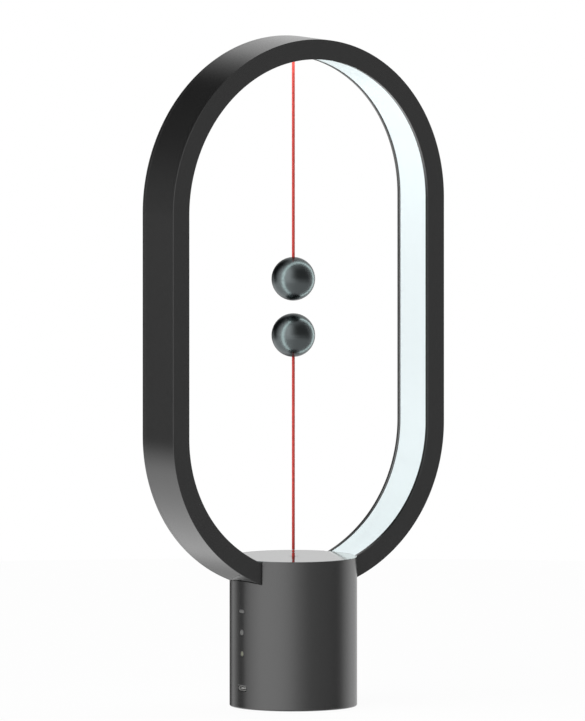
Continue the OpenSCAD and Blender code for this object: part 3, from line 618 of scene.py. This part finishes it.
@dataclass
class Studio:
    """White room round the lamp, and the camera.

    scale is in pixels per metre, the angles are in degrees, and origin is the pixel where the
    middle of the underside falls. Lengths are in metres. peak is the light's level at a ramp's
    white, floor_drop keeps the floor clear of the foot, floor_glow is how much of the floor's look
    is plain white, and box is the soft lamp.
    """

    scale: float = 1678.5
    azimuth: float = 36.2
    elevation: float = 5.62
    origin: tuple[float, float] = (293.34, 705.80)
    width: int = 585
    height: int = 721
    distance: float = 2.0
    peak: float = 2.4
    floor_radius: float = 0.9
    floor_columns: int = 96
    floor_drop: float = 0.0002
    floor_colour: str = "#f4f4f4"
    floor_glow: float = 0.95
    box_size: float = 1.2
    box_energy: float = 4.0
    box_place: tuple[float, float, float] = (-1.5, -1.2, 1.9)
    box_target: tuple[float, float, float] = (0.0, 0.0, 0.2)

    def axes(self) -> tuple[Vector, Vector, Vector]:
        """The camera's right, up and backward directions."""
        turn, rise = math.radians(self.azimuth), math.radians(self.elevation)
        right = Vector((math.cos(turn), -math.sin(turn), 0))
        up = Vector(
            (math.sin(turn) * math.sin(rise), math.cos(turn) * math.sin(rise), math.cos(rise))
        )
        return right, up, right.cross(up)

    def camera(self) -> None:
        """Makes the camera, whose view is parallel, as that of a very long lens is."""
        right, up, back = self.axes()
        target = right * (self.width / 2 - self.origin[0]) / self.scale
        target += up * (self.origin[1] - self.height / 2) / self.scale
        data = bpy.data.cameras.new("camera")
        data.type = "ORTHO"
        data.ortho_scale = self.height / self.scale
        camera = bpy.data.objects.new("camera", data)
        turn = Matrix((right, up, back)).transposed().to_4x4()
        camera.matrix_world = Matrix.Translation(target + back * self.distance) @ turn
        bpy.context.scene.collection.objects.link(camera)
        bpy.context.scene.camera = camera

    def room(self) -> None:
        """White background, with soft light that is brightest from the front left.

        Each tier gives the light's level by the side that it comes from, from straight behind
        through the left, the front and the right. The tiers stand for the floor, for the level of
        the lamp and for the room above it, and mix into one another over a range of rise. The
        camera sees plain white past the lamp.
        """
        world = bpy.data.worlds.new("white_room")
        bpy.context.scene.world = world
        world.use_nodes = True
        tree = world.node_tree
        tree.nodes.clear()
        way = add_node(tree, "ShaderNodeTexCoord").outputs["Generated"]
        split = add_node(tree, "ShaderNodeSeparateXYZ", {0: way})
        angle = combine(tree, "ARCTAN2", split.outputs["Y"], split.outputs["X"])
        # A share of the turn that is nought straight behind the lamp, as the camera looks at it.
        start = (self.azimuth + 90.0) / 360.0 + 0.5
        share = combine(tree, "MULTIPLY_ADD", angle, 1 / (2 * math.pi), start)
        place = combine(tree, "FRACT", share)
        light: bpy.types.NodeSocket | None = None
        for tier in ROOM:
            ramp = add_node(tree, "ShaderNodeValToRGB", {0: place})
            fill_ramp(
                ramp, [((side + 180) / 360, level / self.peak) for side, level in tier.levels]
            )
            here = combine(tree, "MULTIPLY", ramp.outputs["Color"], self.peak)
            if light is not None:
                rise = add_node(
                    tree, "ShaderNodeMapRange",
                    {"Value": split.outputs["Z"], "From Min": tier.low, "From Max": tier.high},
                )
                here = add_node(
                    tree, "ShaderNodeMix", {0: rise.outputs["Result"], 2: light, 3: here},
                    data_type="FLOAT",
                ).outputs[0]
            light = here
        path = add_node(tree, "ShaderNodeLightPath").outputs
        seen = combine(tree, "MAXIMUM", path["Is Camera Ray"], path["Is Transmission Ray"])
        strength = add_node(
            tree, "ShaderNodeMix", {0: seen, 2: light, 3: 1.0}, data_type="FLOAT"
        ).outputs[0]
        sky = add_node(tree, "ShaderNodeBackground", {"Color": WHITE, "Strength": strength})
        add_node(tree, "ShaderNodeOutputWorld", {"Surface": sky.outputs[0]})

    def floor(self) -> None:
        """Makes the pale floor: a disc that is white to the camera and keeps a faint shadow.

        Reflections see the white room through it, as they do past its edge, and from below it is
        clear, so that the lamp's underside shows.
        """
        radius = np.array([0.0, self.floor_radius])[:, None]
        angle = np.linspace(0, 2 * np.pi, self.floor_columns + 1)[:-1]
        x, y = radius * np.cos(angle), radius * np.sin(angle)
        points = np.stack([x, y, np.full(x.shape, -self.floor_drop)], -1)
        floor = build_mesh("floor", [Surface(points)])
        if floor.data.polygons[0].normal.z < 0:
            floor.data.flip_normals()
        made = bpy.data.materials.new("pale_floor")
        made.use_nodes = True
        tree = made.node_tree
        tree.nodes.clear()
        path = add_node(tree, "ShaderNodeLightPath").outputs
        colour = linear(self.floor_colour)
        matt = add_node(tree, "ShaderNodeBsdfDiffuse", {"Color": colour}).outputs[0]
        glow = add_node(tree, "ShaderNodeEmission", {"Color": WHITE}).outputs[0]
        clear = add_node(tree, "ShaderNodeBsdfTransparent").outputs[0]
        pale = add_node(
            tree, "ShaderNodeMixShader", {0: self.floor_glow, 1: matt, 2: glow}
        ).outputs[0]
        shown = add_node(
            tree, "ShaderNodeMixShader", {0: path["Is Camera Ray"], 1: matt, 2: pale}
        ).outputs[0]
        bright = combine(tree, "MAXIMUM", path["Is Glossy Ray"], path["Is Transmission Ray"])
        below = add_node(tree, "ShaderNodeNewGeometry").outputs["Backfacing"]
        hidden = combine(tree, "MAXIMUM", bright, below)
        whole = add_node(tree, "ShaderNodeMixShader", {0: hidden, 1: shown, 2: clear}).outputs[0]
        add_node(tree, "ShaderNodeOutputMaterial", {"Surface": whole})
        floor.data.materials.append(made)

    def softbox(self) -> None:
        """Adds a soft lamp high at the front left, which gives the floor its faint shadow."""
        lamp = area_lamp("softbox", (self.box_size, self.box_size), self.box_energy)
        lamp.location = self.box_place
        aim = Vector(self.box_target) - lamp.location
        lamp.rotation_euler = aim.to_track_quat("-Z", "Y").to_euler()
        lamp.visible_glossy = False


# ---- loop


@dataclass
class Loop:
    """The lit loop: dark front shell and back cover with the opal light face between them.

    Its outline is a half circle, two straight sides, two corner arcs and a wide arc below. A point
    of it is its arc's centre plus the radius less the inset along the arc's angle, and on a side
    the centre slides instead. leg_in and leg are the depth and thickness of the diffuser's legs.
    Lamps lower than lamp_low are dim, and there are none lower than hidden_low.
    """

    half_width: float = 100.0
    half_depth: float = 15.5
    top_z: float = 300.0
    low_z: float = 166.0
    corner_x: float = 6.0
    corner_radius: float = 94.0
    wide_z: float = 172.677
    wide_radius: float = 102.977
    face: float = 12.0
    wall: float = 2.6
    band: float = 2.2
    opal_inset: float = 11.6
    opal_wall: float = 1.6
    opal_play: float = 0.05
    section_gap: float = 1.6
    leg_in: float = 4.9
    leg: float = 1.2
    boss_x: float = 22.0
    boss_hole: float = 1.33
    boss_out: float = 4.0
    boss_low: float = 65.5
    boss_high: float = 74.0
    lamps: int = 30
    lamp_step: float = 1.0
    lamp_colour: str = "#e8f6f3"
    lamp_gap: float = 1.4
    hidden_low: float = 84.0
    lamp_low: float = 102.0
    lamp_level: float = 4.5
    lamp_dim: float = 0.35

    def line(self, spacing: float) -> tuple[np.ndarray, np.ndarray, np.ndarray]:
        """Samples the outline.

        Args:
            spacing: rough distance between points, in millimetres.

        Returns:
            Arc centres (count, 2), radii (count,) and angles (count,), in millimetres and radians.
        """
        wide = math.degrees(math.atan2(self.corner_x, self.wide_z - self.low_z))
        width = self.half_width
        parts = (
            ((0, self.top_z), (0, self.top_z), width, 0, 180),
            ((0, self.top_z), (0, self.low_z), width, 180, 180),
            ((-self.corner_x, self.low_z),) * 2 + (self.corner_radius, 180, 270 - wide),
            ((0, self.wide_z),) * 2 + (self.wide_radius, 270 - wide, 270 + wide),
            ((self.corner_x, self.low_z),) * 2 + (self.corner_radius, 270 + wide, 360),
            ((0, self.low_z), (0, self.top_z), width, 360, 360),
        )
        centres, radii, angles = [], [], []
        for start, end, radius, low, high in parts:
            length = radius * math.radians(high - low) + math.dist(start, end)
            count = int(length / spacing)
            share = np.arange(count)[:, None] / count
            centres.append(np.asarray(start) * (1 - share) + np.asarray(end) * share)
            radii.append(np.full(count, radius))
            angles.append(np.radians(low + (high - low) * share[:, 0]))
        return np.concatenate(centres), np.concatenate(radii), np.concatenate(angles)

    def swept(self, profile: np.ndarray) -> Surface:
        """Carries a closed profile of inset and depth round the outline.

        Args:
            profile: inset and Y of each point, in millimetres.

        Returns:
            The closed surface, in metres.
        """
        centre, radius, angle = self.line(self.section_gap)
        reach = radius[:, None] - profile[:, 0]
        x = centre[:, :1] + reach * np.cos(angle)[:, None]
        z = centre[:, 1:] + reach * np.sin(angle)[:, None]
        y = np.broadcast_to(profile[:, 1], x.shape)
        return Surface(np.stack([x, y, z], -1) * MM, close_rows=True)

    def shell(self) -> None:
        """Front face and outer band in one moulding, with the two screw bosses under it."""
        front, back = -self.half_depth, self.half_depth - self.wall
        profile = rounded([
            (0, front, 0.2), (self.face, front, 0.15), (self.face, front + self.wall, 0.2),
            (self.band, front + self.wall, 0.3), (self.band, back, 0.1), (0, back, 0.07),
        ])
        boss = rounded([
            (self.boss_hole, self.boss_low, 0.15), (self.boss_out, self.boss_low, 0.3),
            (self.boss_out, self.boss_high, 0.1), (self.boss_hole, self.boss_high, 0.1),
        ])
        parts = [self.swept(profile)]
        for x in (-self.boss_x, self.boss_x):
            parts.append(turned(boss, True, centre=(x, 0, 0), count=32))
        make("loop_front_shell", parts, Slot.LOOP, "lamp", "loop_channel")

    def cover(self) -> None:
        """Flat back ring, which meets the band in a hairline."""
        front, back = self.half_depth - self.wall, self.half_depth
        profile = rounded([
            (0, front, 0.07), (0, back, 0.2), (self.face, back, 0.35), (self.face, front, 1.2),
        ])
        make("loop_back_ring", [self.swept(profile)], Slot.LOOP, "lamp", "loop_back_cover")

    def light_face(self) -> None:
        """Opal face all round the loop's inside, with the two legs that hold it."""
        edge = self.half_depth - self.wall - self.opal_play
        face, inner = self.opal_inset, self.opal_inset - self.opal_wall
        out = self.leg_in + self.leg
        profile = rounded([
            (face, -edge, 0.25), (face, edge, 0.25), (inner, edge, 0.1), (inner, out, 0.1),
            (self.band, out, 0.1), (self.band, self.leg_in, 0.1), (inner, self.leg_in, 0.1),
            (inner, -self.leg_in, 0.1), (self.band, -self.leg_in, 0.1), (self.band, -out, 0.1),
            (inner, -out, 0.1), (inner, -edge, 0.1),
        ])
        make("opal_light_face", [self.swept(profile)], Slot.OPAL, "lamp", "diffuser")

    def glow(self) -> None:
        """Lays soft lamps along the light face, which light what is inside the loop.

        Each is flat, so on the arcs it stands off by lamp_gap, or its ends would lie behind the
        light face. Those near the base are dim, as the cap mirrors them, and none is laid in the
        part that the base hides.
        """
        centre, radius, angle = self.line(self.lamp_step)
        pick = np.linspace(0, len(angle), self.lamps, endpoint=False).astype(int)
        out = np.stack([np.cos(angle[pick]), np.sin(angle[pick])], 1)
        reach = radius[pick] - self.opal_inset - self.lamp_gap
        spots = centre[pick] + out * reach[:, None]
        lengths = np.linalg.norm(np.roll(spots, -1, 0) - np.roll(spots, 1, 0), axis=1) / 2
        width = 2 * (self.half_depth - self.wall)
        across = Vector((0, 1, 0))
        for number, (spot, way, length) in enumerate(zip(spots, out, lengths)):
            if spot[1] < self.hidden_low:
                continue
            level = self.lamp_level if spot[1] > self.lamp_low else self.lamp_dim
            outward = Vector((way[0], 0, way[1]))
            energy = level * math.pi * length * width * MM * MM
            lamp = area_lamp(f"glow_{number}", (length * MM, width * MM), energy)
            lamp.data.color = linear(self.lamp_colour)[:3]
            turn = Matrix((across.cross(outward), across, outward)).transposed().to_4x4()
            lamp.matrix_world = Matrix.Translation(Vector((spot[0], 0, spot[1])) * MM) @ turn

    def build(self) -> None:
        """Builds all of the loop."""
        self.shell()
        self.cover()
        self.light_face()
        self.glow()


# ---- cords


@dataclass
class Cord:
    """A red braided cord that runs straight along the lamp's axis between two heights.

    lay is the height of one turn of the braid, relief its depth and ring_gap the distance between
    the rings of points, in millimetres.
    """

    name: str
    low: float
    high: float
    body: str
    node: str
    diameter: float = 1.8
    lay: float = 1.41
    relief: float = 0.05
    columns: int = 40
    ring_gap: float = 0.22
    path_points: int = 61

    def surface(self) -> Surface:
        """Tube whose radius is lowered by the relief between the strands of the braid.

        The strands are where the larger of sin(n angle + k z) and sin(n angle - k z) is high.

        Returns:
            The tube, with both ends closed.
        """
        rings = int((self.high - self.low) / self.ring_gap)
        z = np.linspace(self.low, self.high, rings)[:, None]
        angle = np.arange(self.columns)[None, :] * 2 * np.pi / self.columns
        turn = 2 * np.pi / self.lay * z
        strand = np.maximum(np.sin(STRANDS * angle + turn), np.sin(STRANDS * angle - turn))
        radius = self.diameter / 2 - self.relief * (1 - strand) / 2
        radius[[0, -1]] = 0.0
        z[1], z[-2] = z[0], z[-1]
        points = np.stack(
            [radius * np.cos(angle), radius * np.sin(angle), np.broadcast_to(z, radius.shape)], -1
        )
        return Surface(points * MM)

    def build(self, free: str) -> None:
        """Builds the cord.

        Args:
            free: how it lies: hanging from its upper end, or taut from its lower one; not used.
        """
        piece = make(self.name, [self.surface()], Slot.CORD, self.body, self.node)


# ---- balls


@dataclass
class Ball:
    """A dark plated ball in two halves: one takes the cord, the other holds the magnet.

    way is one where the cord leaves upwards and minus one where it leaves downwards. Each half's
    outline ends seam_angle degrees short of the seam, where the seam's small round goes on.
    """

    name: str
    middle: float
    way: int
    radius: float = 13.0
    wall: float = 1.8
    hole: float = 1.0
    lead_in: float = 0.35
    seam: float = 0.06
    hub: float = 3.4
    hub_bottom: float = 4.0
    lip: float = 10.95
    lip_depth: float = 1.3
    pocket: float = 8.05
    pocket_floor: float = -7.8
    columns: int = 160
    arc_points: int = 60
    seam_angle: float = 0.8

    def placed(self, profile: np.ndarray, closed: bool) -> Surface:
        """Turns a profile drawn with the cord upwards into the ball's place."""
        centre = (0, 0, self.middle)
        return turned(profile * (1, self.way), closed, centre=centre, count=self.columns)

    def seam_arc(self, side: int) -> np.ndarray:
        """Small round where a half meets the other: an arc that touches the ball and the seam."""
        out = math.sqrt((self.radius - self.seam) ** 2 - self.seam ** 2)
        start = math.degrees(math.atan2(self.seam, out))
        return np.array((out, self.seam * side)) + arc_line(self.seam, start, -90, 5) * (1, side)

    def cord_half(self) -> None:
        """Hollow half with a hub and a smooth hole for the cord.

        Its outline runs up the hole, round the hole's lead-in, which touches the ball from inside,
        down the ball to the seam, and back along the inner wall and the hub.
        """
        place = self.hole + self.lead_in
        rise = math.sqrt((self.radius - self.lead_in) ** 2 - place ** 2)
        tilt = math.degrees(math.atan2(rise, place))
        inner = self.radius - self.wall
        hub_angle = math.degrees(math.acos(self.hub / inner))
        outline = np.concatenate([
            np.array([(self.hole, self.hub_bottom)]),
            np.array((place, rise)) + arc_line(self.lead_in, 180, tilt, 8),
            arc_line(self.radius, tilt, self.seam_angle, self.arc_points)[1:],
            self.seam_arc(1)[1:],
            arc_line(inner, 0, hub_angle, 24),
            np.array([(self.hub, self.hub_bottom)]),
        ])
        make(
            f"{self.name}_cord_shell", [self.placed(outline, True)], Slot.BALL, self.name,
            f"{self.name}_cord_half",
        )

    def magnet_half(self) -> None:
        """Solid half with the magnet's pocket, open towards the seam."""
        outline = np.concatenate([
            arc_line(self.radius, -90, -self.seam_angle, self.arc_points),
            self.seam_arc(-1),
            np.array([
                (self.lip, 0), (self.lip, -self.lip_depth), (self.pocket, -self.lip_depth),
                (self.pocket, self.pocket_floor), (0, self.pocket_floor),
            ]),
        ])
        make(
            f"{self.name}_magnet_shell", [self.placed(outline, False)], Slot.BALL, self.name,
            f"{self.name}_magnet_half",
        )

    def build(self) -> None:
        """Builds both halves."""
        self.cord_half()
        self.magnet_half()


# ---- base


@dataclass
class Base:
    """Turned details: eyelet, upper bush, foot, buttons, charge light and port.

    Sizes are in millimetres. Those across an axis are radii or, where a piece has half round
    ends, half of its height, with the reach from its middle to the centre of each end.
    """

    top: float = 89.6
    cord_hole: float = 1.2
    collar: float = 2.1
    flange: float = 2.8
    flange_t: float = 0.5
    cap_low: float = 87.2
    foot: float = 35.0
    foot_t: float = 1.2
    grooves: tuple[float, ...] = (12.0, 20.5, 29.0)
    groove_mouth: float = 0.7
    groove_floor: float = 0.4
    groove_deep: float = 0.4
    flange_out: float = -35.1
    flange_in: float = -34.3
    button_face: float = -38.2
    button_flange: float = 0.9
    pipe: float = 1.5
    pipe_dome: float = 1.1
    dome_fall: float = 0.04
    dome_side: float = 0.25
    pipe_flange: float = 2.2
    port_half: float = 1.45
    port_reach: float = 2.35
    port_wall: float = 0.3
    port_floor: float = 0.8
    port_mouth: float = -37.4
    tongue_half: float = 0.45
    tongue_reach: float = 1.75
    tongue_in: float = 0.6
    tongue_root: float = 0.5
    port_level: float = 12.7
    light_level: float = 33.3
    power_level: float = 46.0
    mode_level: float = 58.7

    def sideways(self, profile: np.ndarray, level: float, stretch: float = 0.0) -> Surface:
        """Turns a profile about the side to side axis at a height, for what sits in the wall."""
        return turned(profile, False, Axis.X, (0, 0, level), 48, stretch)

    def eyelet(self) -> None:
        """Flanged ring that the lower cord comes out of."""
        profile = rounded([
            (self.cord_hole, self.cap_low, 0.1), (self.collar, self.cap_low, 0.1),
            (self.collar, self.top - self.flange_t, 0.05),
            (self.flange, self.top - self.flange_t, 0.05), (self.flange, self.top, 0.2),
            (self.cord_hole, self.top, 0.35),
        ], hold=0.03)
        ring = turned(profile, True, count=64)
        make("cord_eyelet_ring", [ring], Slot.CAP, "lamp", "cord_eyelet")

    def bush(self) -> None:
        """Steel bush that the upper cord comes out of, with a rounded mouth."""
        low, high = (corner.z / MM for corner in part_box("upper_bush"))
        step = low + self.flange_t
        profile = rounded([
            (self.cord_hole, low, 0.35), (self.flange, low, 0.2), (self.flange, step, 0.05),
            (self.collar, step, 0.05), (self.collar, high, 0.1), (self.cord_hole, high, 0.1),
        ], hold=0.03)
        ring = turned(profile, True, count=64)
        make("upper_bush_ring", [ring], Slot.STEEL, "lamp", "upper_bush")

    def foot_pad(self) -> None:
        """Rubber foot with grooves in its underside."""
        line: list[tuple[float, float, float]] = [(0, 0, 0)]
        for groove in self.grooves:
            line += [
                (groove - self.groove_mouth, 0, 0.1),
                (groove - self.groove_floor, self.groove_deep, 0.1),
                (groove + self.groove_floor, self.groove_deep, 0.1),
                (groove + self.groove_mouth, 0, 0.1),
            ]
        line += [(self.foot, 0, 0.35), (self.foot, self.foot_t, 0.2), (0, self.foot_t, 0)]
        profile = rounded(line, closed=False)
        disc = turned(profile, False, count=128)
        make("rubber_foot_pad", [disc], Slot.RUBBER, "lamp", "foot_pad")

    def button(
        self, node: str, level: float, half: float, edge: float, reach: float = 0.0
    ) -> None:
        """Push button with a rounded face and a flange that stays behind the wall.

        Args:
            node: its construction node, which has the same name as its body.
            level: height of its middle.
            half: radius, or half of the height of a button with half round ends.
            edge: rounding of its face.
            reach: distance from its middle to the centre of each end.
        """
        face, rim = self.button_face, half + self.button_flange
        profile = rounded([
            (0, face, 0), (half, face, edge), (half, self.flange_out, 0.1),
            (rim, self.flange_out, 0.1), (rim, self.flange_in, 0.1), (0, self.flange_in, 0),
        ], closed=False)
        part = self.sideways(profile, level, reach)
        make(f"{node}_cap", [part], Slot.BUTTON, node, node)

    def charge_light(self) -> None:
        """Light pipe with a low dome that shows in the wall."""
        low, high = (corner.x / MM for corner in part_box("charge_light"))
        profile = rounded([
            (0, low, 0), (self.pipe_dome, low + self.dome_fall, 0.4),
            (self.pipe, low + self.dome_side, 0.2), (self.pipe, self.flange_out, 0.1),
            (self.pipe_flange, self.flange_out, 0.1), (self.pipe_flange, self.flange_in, 0.1),
            (self.pipe, self.flange_in, 0.1), (self.pipe, high, 0.1), (0, high, 0),
        ], closed=False, hold=0.02)
        part = self.sideways(profile, self.light_level)
        make("charge_light_pipe", [part], Slot.PIPE, "lamp", "charge_light")

    def port(self) -> None:
        """Round ended metal mouth of the charging port, with its tongue a little way in."""
        mouth, back = self.port_mouth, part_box("charging_port")[1].x / MM
        bore, floor = self.port_half - self.port_wall, back - self.port_floor
        shell = rounded([
            (0, back, 0), (self.port_half, back, 0.1), (self.port_half, mouth, 0.12),
            (bore, mouth, 0.12), (bore, floor, 0.1), (0, floor, 0),
        ], closed=False)
        tip, root = mouth + self.tongue_in, back - self.tongue_root
        tongue = rounded([
            (0, tip, 0), (self.tongue_half, tip, 0.15), (self.tongue_half, root, 0.1), (0, root, 0),
        ], closed=False)
        parts = [
            self.sideways(shell, self.port_level, self.port_reach),
            self.sideways(tongue, self.port_level, self.tongue_reach),
        ]
        make("charging_port_mouth", parts, Slot.PORT, "lamp", "charging_port")

    def build(self) -> None:
        """Builds all of the turned details."""
        self.eyelet()
        self.bush()
        self.foot_pad()
        self.button("power_button", self.power_level, half=1.6, edge=0.4)
        self.button("mode_button", self.mode_level, half=0.9, edge=0.3, reach=1.4)
        self.charge_light()
        self.port()


# ---- the whole lamp


def finish_nodes(frame: dict[str, Any]) -> None:
    """Gives each construction node that stays its procedural finish.
    """
    for row in frame["record"]["subparts"]:
        node = frame["nodes"][row["node"]]
        made = SLOT_OF[row["material_slot"]].value.material()
        if not node.material_slots:
            node.data.materials.append(made)
        for slot in node.material_slots:
            slot.material = made
        LOG.info("%s: %s", node.name, made.name)


def main() -> None:
    """Loads the frame and builds the looks round it."""
    logging.basicConfig(level=logging.INFO, format="%(name)s: %(message)s")
    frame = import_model()
    bpy.context.scene.view_settings.view_transform = "Standard"
    studio = Studio()
    studio.camera()
    Cord("upper_red_cord", 259.67, 385.85, "upper_ball", "upper_cord").build("hanging")
    Cord("lower_red_cord", 93.55, 217.93, "lower_ball", "lower_cord").build("taut")
    studio.room()
    studio.floor()
    studio.softbox()
    finish_nodes(frame)
    Loop().build()
    Ball("upper_ball", 255.65, 1).build()
    Ball("lower_ball", 221.95, -1).build()
    Base().build()


if __name__ == "__main__":
    main()
